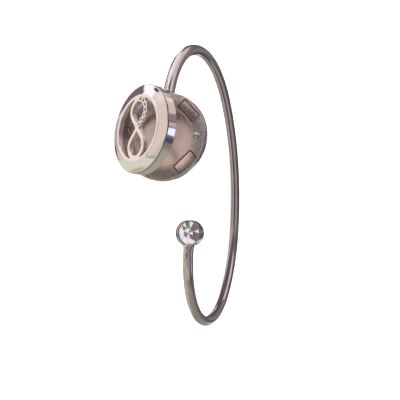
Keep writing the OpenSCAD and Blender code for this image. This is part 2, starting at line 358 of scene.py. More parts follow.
def wire_course():
    """[distance, point, heading] along the wire's middle line, in the plan."""
    at = WIRE_START.copy()
    heading = radians(WIRE_HEADING)
    run = 0
    course = [[run, at.copy(), heading]]
    for bend in BENDS:
        turn = radians(bend[BEND_TURN])
        centre = at + bend[BEND_R] * leftwards(heading)
        steps = ceil(bend[BEND_R] * turn / WIRE_STEP)
        for k in range(1, steps + 1):
            now = heading + turn * k / steps
            course.append([run + bend[BEND_R] * turn * k / steps,
                           centre - bend[BEND_R] * leftwards(now), now])
        run, at, heading = course[-1]
    return course


def leaning(lean):
    """Up and out, in the plan, of what stands on the wire's end and leans back."""
    return Vector((-sin(lean), -cos(lean), 0)), Vector((cos(lean), -sin(lean), 0))


def find_frames():
    """Matrices of the plan, the locket, the lid as it stands open, the cup and the hinge."""
    hinge = frame["joints"][0]
    pad = next(m for m in frame["record"]["mounts"] if m["name"] == "pad_recess")
    along = Vector(hinge["axis"]).normalized()
    out = Vector(pad["axis"]).normalized()
    face_at = Vector(pad["pos_m"]) + out * pad["dims"]["length_mm"] / 2 * MM
    tip = asin(out.z)
    opened = radians(-hinge["range_deg"][0])

    up, ahead = leaning(atan2(along.x, along.y))
    locket_at = wire_course()[-1][1] - SEAT_UP * up + SEAT_BACK * ahead
    plan = (Matrix.Translation(face_at) @ Matrix.Rotation(-tip, 4, along)
            @ Matrix.Scale(MM, 4) @ Matrix.Translation(-locket_at))
    locket = plan @ axes(Vector((0, 0, 1)), up, ahead, locket_at)
    to_hinge = Matrix.Translation((HINGE_X, 0, 0))
    lid = locket @ to_hinge @ Matrix.Rotation(-opened, 4, "Y") @ to_hinge.inverted()

    cup_up, cup_out = leaning(radians(CUP_LEAN))
    cup_at = WIRE_START + CUP_DROP * cup_up + CUP_BACK * cup_out
    cup = plan @ axes(Vector((0, 0, 1)), cup_up, cup_out, cup_at)
    pin = locket @ to_hinge @ Matrix.Rotation(radians(-90), 4, "X")
    return plan, locket, lid, cup, pin


PLAN, LOCKET, LID, CUP, PIN = find_frames()


# Outlines


def rounded(corners, closed=False):
    """Points of an outline whose corners, each [x, y, radius], are rounded off."""
    points = []
    for i, (x, y, radius) in enumerate(corners):
        here = Vector((x, y))
        if radius == 0 or (not closed and i in (0, len(corners) - 1)):
            points.append(here)
            continue
        back = (Vector(corners[i - 1][:2]) - here).normalized()
        on = (Vector(corners[(i + 1) % len(corners)][:2]) - here).normalized()
        half = back.angle(on) / 2
        centre = here + (back + on).normalized() * radius / sin(half)
        start = here + back * radius / tan(half) - centre
        turn = pi - 2 * half
        if back.cross(on) > 0:
            turn = -turn
        steps = max(2, ceil(abs(turn) / FILLET_STEP))
        for k in range(steps + 1):
            points.append(centre + Matrix.Rotation(turn * k / steps, 2) @ start)
    return points


def arc(centre, radius, start, turn, steps):
    """Points along an arc about centre, from the angle start through turn."""
    angles = [start + turn * k / steps for k in range(steps + 1)]
    return [Vector((centre[0] + radius * cos(a), centre[1] + radius * sin(a))) for a in angles]


def circle(radius, count=ROUND, at=(0, 0)):
    return arc(at, radius, 0, 2 * pi, count)[:-1]


def area(outline):
    return sum(a.cross(b) for a, b in zip(outline, outline[1:] + outline[:1])) / 2


def grown(outline, d):
    """A closed outline, moved outwards by d, and at sharp corners by up to twice as much."""
    sense = 1 if area(outline) > 0 else -1
    moved = []
    for i, here in enumerate(outline):
        first = (here - outline[i - 1]).normalized()
        second = (outline[(i + 1) % len(outline)] - here).normalized()
        way = Vector((first.y + second.y, -first.x - second.x)).normalized()
        stretch = max(STRETCH_LEAST, way.dot(Vector((first.y, -first.x))))
        moved.append(here + way * sense * d / stretch)
    return moved


def inside(outline, points):
    """Which of the points (an array of x, y) lie inside the closed outline."""
    x, y = points.T
    within = np.zeros(len(points), bool)
    for a, b in zip(outline, outline[1:] + outline[:1]):
        if a.y != b.y:
            within ^= ((a.y > y) != (b.y > y)) & (x < a.x + (y - a.y) / (b.y - a.y) * (b.x - a.x))
    return within


def edge(height, radius, sense, up=True):
    """[growth, height] down a rounded edge, which opens outwards (sense 1) or inwards (-1)."""
    steps = ceil(pi / 2 / FILLET_STEP)
    down = -1 if up else 1
    rows = [[sense * radius * (1 - sin(pi / 2 * k / steps)),
             height + down * radius * (1 - cos(pi / 2 * k / steps))] for k in range(steps + 1)]
    return rows if up else rows[::-1]


def wall(top, bottom, top_edge, bottom_edge, sense):
    """[growth, height] down a wall with a rounded edge at each end."""
    return edge(top, top_edge, sense) + edge(bottom, bottom_edge, sense, up=False)


# Meshes


def flat(p, height):
    return Vector((p[0], p[1], height))


def upright(p, height):
    """For an outline in the XZ plane that is made solid along Y."""
    return Vector((p[0], height, p[1]))


def placed(name, data):
    """A new object, in the scene."""
    made = bpy.data.objects.new(name, data)
    bpy.context.scene.collection.objects.link(made)
    return made


def keep(mesh, name, vectors, domain="POINT"):
    """Gives each point or face of the mesh a vector that its materials read."""
    kept = mesh.attributes.new(name, "FLOAT_VECTOR", domain)
    kept.data.foreach_set("vector", np.array(vectors, np.float32).ravel())


def hide(item, *rays):
    """Keeps the item from being seen by these kinds of ray."""
    for ray in rays:
        setattr(item, "visible_" + ray, False)


class Shape:
    """A mesh that is being drawn, in millimetres in the frame of the matrix place."""

    def __init__(self, place):
        self.place = place
        self.mesh = bmesh.new()

    def loop(self, points):
        return [self.mesh.verts.new(p) for p in points]

    def band(self, loops, material=0):
        """Faces between each closed loop of vertices and the next."""
        for one, two in zip(loops, loops[1:]):
            count = len(one)
            for k in range(count):
                after = (k + 1) % count
                self.cap((one[k], one[after], two[after], two[k]), material)

    def cap(self, loop, material=0):
        self.mesh.faces.new(loop).material_index = material

    def lathe(self, profile, count=ROUND, material=0, at=(0, 0)):
        """Turns a profile of (radius, height) about the line through at along Z."""
        loops = []
        for radius, height in profile:
            points = circle(radius, count, at) if radius > TINY else [at]
            loops.append(self.loop([flat(p, height) for p in points]))
        for one, two in zip(loops, loops[1:]):
            if len(one) == 1 or len(two) == 1:
                tip, rim = (one[0], two) if len(one) == 1 else (two[0], one)
                for k in range(count):
                    self.cap((tip, rim[k], rim[(k + 1) % count]), material)
            else:
                self.band([one, two], material)

    def face(self, outlines, height, material=0, lay=flat):
        """Flat face inside the first outline and outside the others."""
        points = [p for outline in outlines for p in outline]
        sides = []
        start = 0
        for outline in outlines:
            count = len(outline)
            sides += [(start + k, start + (k + 1) % count) for k in range(count)]
            start += count
        places, _, triangles = delaunay_2d_cdt(points, sides, [], CDT_INSIDE, TINY)[:3]
        verts = self.loop([lay(p, height) for p in places])
        middles = np.array([sum((places[c] for c in t), Vector((0, 0))) / 3 for t in triangles])
        kept = inside(outlines[0], middles)
        for hole in outlines[1:]:
            kept &= ~inside(hole, middles)
        for corners, solid in zip(triangles, kept):
            if solid:
                self.cap([verts[c] for c in corners], material)

    def walls(self, outline, rows, material=0, lay=flat):
        """Bands along an outline, grown and raised as each of rows says."""
        self.band([self.loop([lay(p, height) for p in grown(outline, growth)])
                   for growth, height in rows], material)

    def block(self, outline, low, high, rim, holes=(), material=0, lay=flat):
        """An outline made solid from low to high, with rounded edges, and holes through it."""
        self.walls(outline, wall(high, low, rim, rim, -1), material, lay)
        for hole in holes:
            self.walls(hole, wall(high, low, rim / 2, rim / 2, 1), material, lay)
        ends = [grown(outline, -rim)] + [grown(hole, rim / 2) for hole in holes]
        self.face(ends, low, material, lay)
        self.face(ends, high, material, lay)

    def data(self, name):
        """The mesh, welded and turned outwards, still in its own frame."""
        bmesh.ops.remove_doubles(self.mesh, verts=self.mesh.verts, dist=WELD)
        bmesh.ops.recalc_face_normals(self.mesh, faces=self.mesh.faces)
        mesh = bpy.data.meshes.new(name)
        self.mesh.to_mesh(mesh)
        self.mesh.free()
        return mesh

    def finish(self, name, materials, nodes=("cuff",), body="cuff",
               sharp=None, local=None):
        """The piece, riding on body in place of nodes.

        Its materials follow its places in its own frame, or the places in local.
        """
        mesh = self.data(name)
        piece = placed(name, mesh)
        keep(mesh, "local", local or [v.co[:] for v in mesh.vertices])
        mesh.transform(self.place)
        mesh.shade_smooth()
        for material in materials:
            mesh.materials.append(material)
        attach(piece, body)
        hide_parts(*nodes)
        if sharp:
            sharpen(piece, sharp)
        return piece


def sharpen(piece, angle):
    """Edges sharper than angle stay sharp, and large faces keep their own normals."""
    piece.data.set_sharp_from_angle(angle=radians(angle))
    weighted = piece.modifiers.new("weighted", "WEIGHTED_NORMAL")
    weighted.keep_sharp = True
    weighted.weight = FACE_WEIGHT


# Shader helpers


def node(tree, kind, inputs=None, **settings):
    """A new node. An input is a value or another node's output."""
    made = tree.nodes.new("ShaderNode" + kind)
    for key, value in settings.items():
        setattr(made, key, value)
    for key, value in (inputs or {}).items():
        if isinstance(value, bpy.types.NodeSocket):
            tree.links.new(value, made.inputs[key])
        else:
            made.inputs[key].default_value = value
    return made


def emptied(owner):
    """The node tree of a material or the world, with nothing in it."""
    owner.use_nodes = True
    owner.node_tree.nodes.clear()
    return owner.node_tree


def new_material(name):
    """A material, its tree with only its shader, and its local coordinates."""
    material = bpy.data.materials.new(name)
    tree = emptied(material)
    shader = node(tree, "BsdfPrincipled")
    node(tree, "OutputMaterial", {"Surface": shader.outputs["BSDF"]})
    local = node(tree, "Attribute", attribute_name="local").outputs["Vector"]
    return material, tree, shader, local


def grain(tree, local, scale, turn=0, detail=4, roughness=0.6):
    """Noise stretched by scale (per millimetre along each axis), after a turn about Z."""
    turned = node(tree, "Mapping",
                  {"Vector": local, "Rotation": (0, 0, radians(turn))}).outputs[0]
    laid = node(tree, "Mapping", {"Vector": turned, "Scale": scale}).outputs[0]
    return node(tree, "TexNoise",
                {"Vector": laid, "Scale": 1, "Detail": detail, "Roughness": roughness}).outputs[0]


def spread(tree, noise, low, high):
    """A number between low and high that follows noise."""
    return node(tree, "MapRange", {
        "Value": noise, "From Min": GRAIN_LOW, "From Max": GRAIN_HIGH,
        "To Min": low, "To Max": high,
    }).outputs[0]


def tint(tree, noise, dark, light):
    """A colour between dark and light that follows noise."""
    ramp = node(tree, "ValToRGB", {"Fac": noise})
    ends = zip(ramp.color_ramp.elements, (GRAIN_LOW, GRAIN_HIGH), (dark, light))
    for element, position, colour in ends:
        element.position = position
        element.color = (*colour, 1)
    return ramp.outputs[0]


def bumps(tree, shader, layers):
    """Chains bump nodes. Each layer is (height, strength, depth in millimetres)."""
    normal = None
    for height, strength, depth in layers:
        inputs = {"Height": height, "Strength": strength, "Distance": depth * MM}
        if normal is not None:
            inputs["Normal"] = normal
        normal = node(tree, "Bump", inputs).outputs[0]
    tree.links.new(normal, shader.inputs["Normal"])


# Materials


def metal(name, dark, light, rough, grains, layers=()):
    """Metal whose tone follows the first of its grains and whose roughness follows the last.

    A grain has grain's own settings, and a layer of bumps is (which grain, strength, depth).
    """
    material, tree, shader, local = new_material(name)
    noises = [grain(tree, local, **settings) for settings in grains]
    tree.links.new(tint(tree, noises[0], dark, light), shader.inputs["Base Color"])
    tree.links.new(spread(tree, noises[-1], *rough), shader.inputs["Roughness"])
    shader.inputs["Metallic"].default_value = 1
    if layers:
        bumps(tree, shader, [(noises[which], *sizes) for which, *sizes in layers])
    return material


def polished_wire():
    """Drawn and polished wire: slow waves in its shine, fine lines along it."""
    waves = {"scale": (0.25, 0.5, 0.5), "detail": 2}
    lines = {"scale": (0.12, 5, 5)}
    return metal("polished_wire", (0.56, 0.52, 0.52), (0.66, 0.62, 0.61), (0.06, 0.12),
                 [waves, lines], [(1, 0.12, 0.02), (0, 0.2, 0.05)])


def polished_steel(name="polished_steel", dark=(0.82, 0.78, 0.76), light=(0.92, 0.88, 0.86)):
    """Bright polished steel with faint handling marks."""
    clouds = {"scale": (0.3, 0.3, 0.3), "detail": 3}
    marks = {"scale": (0.5, 9, 4), "turn": 35}
    return metal(name, dark, light, (0.03, 0.08), [clouds, marks],
                 [(1, 0.05, 0.01), (0, 0.12, 0.04)])


def brushed_steel():
    """Face of the base: short strokes that run nearly up and down."""
    strokes = {"scale": (7, 0.9, 3), "turn": -22, "detail": 5, "roughness": 0.75}
    patches = {"scale": (0.8, 0.4, 1), "turn": -22, "detail": 3}
    return metal("brushed_steel", (0.5, 0.44, 0.42), (1, 0.97, 0.93), (0.22, 0.34),
                 [strokes, patches], [(0, 0.5, 0.03), (1, 0.2, 0.05)])


def satin_steel(name, dark, light):
    """Cut walls and hollow of the lid, finished less than its face. The hollow's darker copy is
    painted shade.
    """
    clouds = {"scale": (0.5, 0.5, 1), "detail": 3}
    return metal(name, dark, light, (0.3, 0.42), [clouds])


def recess_steel():
    """Floor of the recess: smooth, with soft cloudy stripes."""
    stripes = {"scale": (1.4, 0.16, 1), "turn": -6, "detail": 3}
    return metal("recess_steel", (0.66, 0.56, 0.52), (0.86, 0.75, 0.7), (0.2, 0.3),
                 [stripes], [(0, 0.1, 0.03)])


def pocket_steel_painted_shade():
    """Walls and floors of the pockets, dull, and dark as painted shade in the gaps round the
    magnets.
    """
    marks = {"scale": (3, 3, 3)}
    return metal("pocket_steel_painted_shade", (0.1, 0.08, 0.08), (0.16, 0.13, 0.13), (0.4, 0.55), [marks])


def magnet_nickel(name, dark, light):
    """Nickel plate with fine scratches."""
    scratches = {"scale": (4, 0.8, 3), "turn": 28, "detail": 5}
    return metal(name, dark, light, (0.12, 0.26), [scratches], [(0, 0.3, 0.02)])


def cut_glass():
    """Clear lead glass of the stone's crown."""
    material, tree, shader, local = new_material("cut_glass")
    shader.inputs["Base Color"].default_value = (0.97, 0.98, 1, 1)
    shader.inputs["IOR"].default_value = 1.33
    shader.inputs["Transmission Weight"].default_value = 1
    tree.links.new(spread(tree, grain(tree, local, (2, 2, 2)), 0, 0.02),
                   shader.inputs["Roughness"])
    return material


def foil():
    """Silvered back of the stone, whose facets carry painted reflections: each is tinted as if it
    mirrored another part of the room.
    """
    material, tree, shader, local = new_material("stone_foil")
    painted_reflection_tints = node(tree, "Attribute", attribute_name="tint").outputs["Vector"]
    shade = tint(tree, grain(tree, local, (1, 1, 1)), (0.9, 0.9, 0.9), WHITE)
    tree.links.new(node(tree, "MixRGB", {"Fac": 1, "Color1": painted_reflection_tints, "Color2": shade},
                        blend_type="MULTIPLY").outputs[0], shader.inputs["Base Color"])
    shader.inputs["Metallic"].default_value = 1
    shader.inputs["Roughness"].default_value = 0.12
    return material


# Pieces of the cuff


def make_wire():
    """The round wire, swept along its course, with a solder flare and a rounded end each side."""
    shape = Shape(PLAN)
    course = wire_course()
    total = course[-1][0]
    rows = [[WIRE_TRIM - d, *course[0][1:], s, WIRE_TRIM - d] for d, s in WIRE_TIP]
    rows += [[*row, 1, 0] for row in course[1:-1]]
    rows += [[total + d, *course[-1][1:], s, -d] for d, s in WIRE_TIP[::-1]]
    loops = []
    face_out = Vector((PLAN.inverted() @ LOCKET).col[2][:3])
    face_at = (PLAN.inverted() @ LOCKET).translation
    for distance, point, heading, share, moved in rows:
        near_cup = distance < total / 2
        from_end = max(0, min(distance, total - distance))
        radius = WIRE_R + FLARE * max(0, 1 - from_end / FLARE_L) ** 2
        ahead = Vector((cos(heading), sin(heading), 0))
        centre = point + ahead * (moved if near_cup else -moved)
        points = []
        for x, y in circle(share * radius, WIRE_SIDES):
            p = centre + x * leftwards(heading) + y * Vector((0, 0, 1))
            above = (p - face_at).dot(face_out) + SEAT_SUNK
            if not near_cup and above > 0 and (p - face_at).length < BASE_R + SEAT_REACH:
                p -= face_out * above
            points.append(p)
        loops.append(shape.loop(points))
    shape.band(loops)
    shape.cap(loops[0])
    shape.cap(loops[-1])
    straightened = [(row[0], *p) for row in rows for p in circle(WIRE_R, WIRE_SIDES)]
    shape.finish("wire", [polished_wire()], local=straightened)


def bar_outline(angle, growth=0):
    """Outline of a magnet at angle, grown on all sides."""
    a = MAGNET_W / 2
    b = MAGNET_L / 2
    box = rounded([(x, y, MAGNET_CORNER) for x, y in ((a, -b), (a, b), (-a, b), (-a, -b))], True)
    turn = Matrix.Rotation(radians(angle), 2)
    return grown([turn @ (p + Vector((MAGNET_R, 0))) for p in box], growth)


def make_base(materials):
    """The dish: recess, face with the magnets' pockets, rolled rim and back."""
    steel, brushed, recess, pocket = range(4)
    shape = Shape(LOCKET)
    inner = rounded([(0, -RECESS_H, 0), (RECESS_R, -RECESS_H, RECESS_CORNER),
                     (RECESS_R, 0, RECESS_ROUND), (BASE_R, 0, 0)])[:-1]
    outer = rounded([(0, 0, 0), (BASE_R, 0, BASE_ROUND), (BASE_R, -BASE_H, BACK_ROUND),
                     (0, -BASE_H, 0)])[1:]
    shape.lathe(inner, material=recess)
    shape.lathe(outer, material=steel)
    pockets = [bar_outline(a, POCKET_GAP) for a in (MAGNET_ANGLE, -MAGNET_ANGLE)]
    shape.face([circle(outer[0].x), circle(inner[-1].x)]
               + [grown(p, POCKET_LIP) for p in pockets], 0, brushed)
    for outline in pockets:
        # Pocket walls and floors take the dark material: painted shade in the gaps round the
        # magnets.
        shape.walls(outline, edge(0, POCKET_LIP, 1) + [[0, -POCKET_H]], pocket)
        shape.face([outline], -POCKET_H, pocket)
    shape.finish("locket_base", materials, sharp=SHARP)


def make_pip(steel):
    """Domed catch pip with a small fillet of solder round its foot."""
    shape = Shape(LOCKET)
    low = asin(PIP_FOOT / PIP_R)
    dome = arc((0, PIP_UP), PIP_R, low, pi / 2 - low, PIP_STEPS)
    foot = [Vector((PIP_R + out, height)) for out, height in PIP_FILLET]
    shape.lathe([Vector((0, foot[0].y))] + foot + dome, SMALL_ROUND, at=(PIP_X, 0))
    shape.finish("catch_pip", [steel], sharp=PIP_SHARP)


def make_ears(steel):
    """Two hinge ears, each a knuckle, the web into the rim and the strap on the face."""
    high = asin(STRAP_H / KNUCKLE_R)
    meet = HINGE_X + KNUCKLE_R * cos(high) + APART
    outline = arc((HINGE_X, 0), KNUCKLE_R, high, 3 * pi / 2 - high, KNUCKLE_STEPS) + rounded([
        (EAR_WEB_X, -KNUCKLE_R, EAR_ROUND), (EAR_WEB_X, -STRAP_SUNK, 0),
        (STRAP_X, -STRAP_SUNK, EAR_ROUND), (STRAP_X, STRAP_H, STRAP_ROUND),
        (meet, STRAP_H, 0)], True)
    for name, sense in (("hinge_ear_upper", 1), ("hinge_ear_lower", -1)):
        shape = Shape(LOCKET)
        ends = sorted([sense * EAR_Y, sense * HINGE_L / 2])
        shape.block(outline, *ends, EAR_EDGE, lay=upright,
                    holes=[circle(PIN_R + EAR_PLAY, SMALL_ROUND, (HINGE_X, 0))])
        shape.finish(name, [steel], sharp=SMALL_SHARP)


def make_pin(steel):
    """Riveted pin with domed heads."""
    shape = Shape(PIN)
    reach = HINGE_L / 2 + PIN_PROUD
    top = rounded([(PIN_R, 0, 0), (PIN_R, reach, 0), (PIN_HEAD_R, reach, PIN_NECK_ROUND),
                   (PIN_HEAD_R, reach + PIN_HEAD_H, PIN_HEAD_ROUND),
                   (0, reach + PIN_HEAD_H, 0)])
    shape.lathe([Vector((p.x, -p.y)) for p in top[::-1]] + top[1:], SMALL_ROUND)
    shape.finish("hinge_pin_riveted", [steel], ["hinge_pin"], sharp=SMALL_SHARP)


def make_magnets():
    """The two bar magnets with softly rounded edges."""
    # One nickel in two tones: the upper magnet's darker copy is painted shade, the lower's lighter
    # copy painted light.
    looks = {
        "upper": magnet_nickel("magnet_nickel_painted_shade", (0.46, 0.36, 0.33), (0.95, 0.78, 0.7)),
        "lower": magnet_nickel("magnet_nickel_painted_light", (0.9, 0.72, 0.68), (1, 0.86, 0.82)),
    }
    for side, angle in (("upper", MAGNET_ANGLE), ("lower", -MAGNET_ANGLE)):
        shape = Shape(LOCKET)
        shape.block(bar_outline(angle), -MAGNET_SUNK - MAGNET_H, -MAGNET_SUNK, MAGNET_ROUND)
        shape.finish("bar_magnet_" + side, [looks[side]], ["magnet_" + side],
                     sharp=SMALL_SHARP)


def make_cup(materials):
    """Bezel cup with its rim rolled over the stone."""
    shape = Shape(CUP)
    outer, inner = range(2)
    shape.lathe(rounded([(0, -CUP_H, 0), (CUP_R, -CUP_H, CUP_ROUND), (CUP_R, 0, RIM_ROUND),
                         (MOUTH_R, 0, MOUTH_ROUND), (MOUTH_R, -RIM_H, 0)])[:-1],
                CUP_SIDES, outer)
    shape.lathe(rounded([(MOUTH_R, -MOUTH_ROUND, 0), (MOUTH_R, -RIM_H, LEDGE_ROUND),
                         (BORE_R, -RIM_H, LEDGE_ROUND), (BORE_R, LEDGE_Z, LEDGE_ROUND),
                         (WELL_R, LEDGE_Z, LEDGE_ROUND), (WELL_R, WELL_Z, WELL_ROUND),
                         (0, WELL_Z, 0)]), CUP_SIDES, inner)
    shape.finish("crystal_cup", materials, sharp=SHARP)


def make_stone():
    """Round cut stone of clear glass: table, star, main and girdle facets."""
    shape = Shape(CUP @ Matrix.Translation((0, 0, -STONE_SUNK)))
    half_step = pi / SIDES
    depth = CROWN_H + GIRDLE_H + PAVILION_H
    star_z = (TABLE_R - STAR_R * cos(half_step)) * CROWN_H / (STONE_R - TABLE_R)
    lower_z = LOWER_R * cos(half_step) * PAVILION_H / STONE_R - depth
    table = ring(shape, TABLE_R, SIDES, 0, 0)
    star = ring(shape, STAR_R, SIDES, 0.5, star_z)
    top = ring(shape, STONE_R, 2 * SIDES, 0, -CROWN_H)
    under = ring(shape, STONE_R, 2 * SIDES, 0, -CROWN_H - GIRDLE_H)
    deep = ring(shape, LOWER_R, SIDES, 0.5, lower_z)
    culet = shape.loop([(0, 0, -depth)])[0]
    shape.cap(table)
    for k in range(SIDES):
        on = (k + 1) % SIDES
        far = (2 * k + 2) % (2 * SIDES)
        shape.cap([table[k], table[on], star[k]])
        shape.cap([table[k], star[k], top[2 * k], star[k - 1]])
        shape.cap([star[k], top[2 * k + 1], top[2 * k]])
        shape.cap([star[k], top[far], top[2 * k + 1]])
        shape.cap([deep[k], under[2 * k], under[2 * k + 1]])
        shape.cap([deep[k], under[2 * k + 1], under[far]])
        shape.cap([culet, deep[k - 1], under[2 * k], deep[k]])
    shape.band([top, under])
    piece = shape.finish("cut_crystal", [cut_glass()], ["crystal"])
    piece.data.shade_flat()


def ring(shape, radius, count, shift, height):
    """Corners of a row of facets, turned by a share of one facet."""
    corners = arc((0, 0), radius, 2 * pi * shift / count, 2 * pi, count)[:-1]
    return shape.loop([flat(p, height) for p in corners])


def make_foil():
    """Silvered facets in the stone, which throw the light back through its crown."""
    shape = Shape(CUP @ Matrix.Translation((0, 0, -STONE_SUNK)))
    star = ring(shape, FOIL_STAR_R, SIDES, 0.5, FOIL_RIM_Z + FOIL_STAR_RISE)
    rim = ring(shape, FOIL_R, 2 * SIDES, 0, FOIL_RIM_Z)
    heart = shape.loop([(0, 0, FOIL_RIM_Z + FOIL_HEART_RISE)])[0]
    for k in range(SIDES):
        far = (2 * k + 2) % (2 * SIDES)
        shape.cap([star[k], rim[2 * k], rim[2 * k + 1]])
        shape.cap([star[k], rim[2 * k + 1], rim[far]])
        shape.cap([star[k - 1], rim[2 * k], star[k]])
        shape.cap([heart, star[k - 1], star[k]])
    back = ring(shape, FOIL_R, 2 * SIDES, 0, FOIL_RIM_Z)
    point = shape.loop([(0, 0, FOIL_RIM_Z - FOIL_H)])[0]
    for k in range(2 * SIDES):
        shape.cap([point, back[k], back[(k + 1) % (2 * SIDES)]])
    piece = shape.finish("crystal_foil", [foil()], ["crystal"])
    piece.data.shade_flat()
    # Painted reflections: each facet takes its tint from the table, and the rest are white.
    painted_reflection_tints = [tone for facets in FOIL_PAINTED_REFLECTIONS for tone in facets]
    painted_reflection_tints += [WHITE] * (len(piece.data.polygons) - len(painted_reflection_tints))
    keep(piece.data, "tint", painted_reflection_tints, "FACE")


# Pieces of the lid


def arm_distance(x, y, back, ahead, heading):
    """Distance to the straight line from -back to ahead along heading, through the middle."""
    run = np.clip(x * cos(heading) + y * sin(heading), -back, ahead)
    return np.hypot(x - run * cos(heading), y - run * sin(heading))


def arc_distance(x, y, centre, start, turn):
    """Distance to an arc about (0, centre), or far where the arc doesn't reach."""
    angle = np.mod(np.arctan2(y - centre, x) - start, 2 * pi)
    return np.where(angle < turn, np.abs(np.hypot(x, y - centre) - LOOP_R), WINDOW_R)


def soft_union(a, b, blend):
    """Smaller of two distances, with a fillet of about blend where they meet."""
    near = np.maximum(blend - np.abs(a - b), 0) / blend
    return np.minimum(a, b) - near ** 2 * blend / 4


def face_field(x, y):
    """Distance to the metal of the pierced face, below 0 inside it."""
    cross_bar = arm_distance(x, y, BAR_L, BAR_L, pi / 2 + HALF_ANGLE)
    low_bar = arm_distance(x, y, 0, BAR_L, 3 * pi / 2 - HALF_ANGLE)
    crossing = arm_distance(x, y, 0, BAR_L / 2, 3 * pi / 2 - HALF_ANGLE)
    upper = arc_distance(x, y, LOOP_Y, pi / 2, pi / 2 + HALF_ANGLE)
    lower = arc_distance(x, y, -LOOP_Y, pi - HALF_ANGLE, pi + 2 * HALF_ANGLE)
    joined = soft_union(cross_bar, crossing, STRAND_BLEND)
    middle_line = np.minimum.reduce([joined, low_bar, upper, lower])
    return soft_union(middle_line - STRAND_W / 2, WINDOW_R - np.hypot(x, y), STRAND_BLEND)


def contours():
    """Closed outlines of the openings in the pierced face, followed through a fine grid."""
    count = ceil(FIELD_HALF / FIELD_STEP)
    line = np.arange(-count, count + 1) * FIELD_STEP
    field = face_field(*np.meshgrid(line, line, indexing="ij"))
    links = {}

    def crossing(i, j, k, m):
        return (i, j, k, m) if (i, j) < (k, m) else (k, m, i, j)

    open_here = field > 0
    mixed = np.zeros((2 * count, 2 * count), int)
    for di, dj in ((0, 0), (1, 0), (1, 1), (0, 1)):
        mixed += open_here[di:2 * count + di, dj:2 * count + dj]
    for i, j in np.argwhere((mixed > 0) & (mixed < 4)):
        square = [(i, j), (i + 1, j), (i + 1, j + 1), (i, j + 1)]
        cuts = [crossing(*square[k - 1], *square[k]) for k in range(4)
                if open_here[square[k - 1]] != open_here[square[k]]]
        for one, two in zip(cuts[::2], cuts[1::2]):
            links.setdefault(one, []).append(two)
            links.setdefault(two, []).append(one)
    outlines = []
    while links:
        start = next(iter(links))
        path = [start]
        while True:
            ahead = [c for c in links.pop(path[-1]) if c in links]
            if not ahead:
                break
            path.append(ahead[0])
        outlines.append(settled(path, line, field))
    return outlines


def settled(path, line, field):
    """Points of one outline, moved onto the metal's edge and spaced evenly."""
    cuts = np.array(path)
    a = field[cuts[:, 0], cuts[:, 1]]
    b = field[cuts[:, 2], cuts[:, 3]]
    share = (a / (a - b))[:, None]
    points = line[cuts[:, :2]] * (1 - share) + line[cuts[:, 2:]] * share
    around = np.vstack([points, points[:1]])
    run = np.concatenate([[0], np.cumsum(np.hypot(*np.diff(around, axis=0).T))])
    even = np.linspace(0, run[-1], int(run[-1] / OUTLINE_STEP), endpoint=False)
    points = np.stack([np.interp(even, run, around[:, k]) for k in (0, 1)], axis=1)
    reach = FIELD_STEP / 10
    flattest = 0.25
    for _ in range(SETTLE_ROUNDS):
        x, y = points.T
        value = face_field(x, y)
        slope = np.stack([face_field(x + reach, y) - face_field(x - reach, y),
                          face_field(x, y + reach) - face_field(x, y - reach)], 1) / (2 * reach)
        points = points - slope * (value / np.maximum((slope ** 2).sum(1), flattest))[:, None]
    return [Vector(p) for p in points]


def bevel():
    """Corners down the lid's bevel, which bulges a little."""
    high = Vector((LIP_R, LID_H - LIP_STEP))
    low = Vector((LID_R, BEVEL_Z))
    out = Vector((high.y - low.y, low.x - high.x)).normalized()
    shares = [k / BEVEL_STEPS for k in range(1, BEVEL_STEPS)]
    return [(*(high.lerp(low, s) + out * BEVEL_BULGE * sin(pi * s)), 0) for s in shares]


def make_lid(materials):
    """Bevelled ring of the cover with its hollow back and its pierced face in one."""
    steel, satin, hollow, dark = range(4)
    shape = Shape(LID)
    outer = rounded([(WINDOW_R, LID_H, 0), (LIP_R, LID_H, LIP_ROUND),
                     (LIP_R, LID_H - LIP_STEP, LIP_CORNER), *bevel(),
                     (LID_R, BEVEL_Z, LID_EDGE), (LID_R, LID_GAP, LID_BACK_ROUND),
                     (HOLLOW_R, LID_GAP, 0)])
    inner = rounded([(LID_R, LID_GAP, 0), (HOLLOW_R, LID_GAP, HOLLOW_ROUND),
                     (HOLLOW_R, FACE_Z, HOLLOW_CORNER), (WINDOW_R, FACE_Z, 0)])
    # The rounded edge round the lid's rim takes the dark copy of polished steel: a painted dark
    # reflection.
    rim = [i for i, p in enumerate(outer)
           if p.x > LID_R - LID_EDGE and p.y > BEVEL_Z - LID_EDGE]
    shape.lathe(outer[1:rim[0] + 1], material=steel)
    shape.lathe(outer[rim[0]:rim[-1] + 1], material=dark)
    shape.lathe(outer[rim[-1]:-1] + inner[1:2], material=steel)
    # The hollow and the face's underside take the darker satin copy: painted shade inside the lid.
    shape.lathe(inner[1:-1], material=hollow)
    openings = contours()
    shape.face([circle(outer[1].x)] + [grown(o, STRAND_ROUND) for o in openings], LID_H)
    shape.face([circle(inner[-2].x)] + [grown(o, STRAND_UNDER) for o in openings], FACE_Z,
               hollow)
    top = edge(LID_H, STRAND_ROUND, 1)
    foot = edge(FACE_Z, STRAND_UNDER, 1, up=False)
    for outline in openings:
        shape.walls(outline, top, steel)
        shape.walls(outline, [top[-1], foot[0]], satin)
        shape.walls(outline, foot, steel)
    piece = shape.finish("lid_pierced", materials, ["lid"], "lid")
    cut_lid(piece)
    sharpen(piece, SHARP)


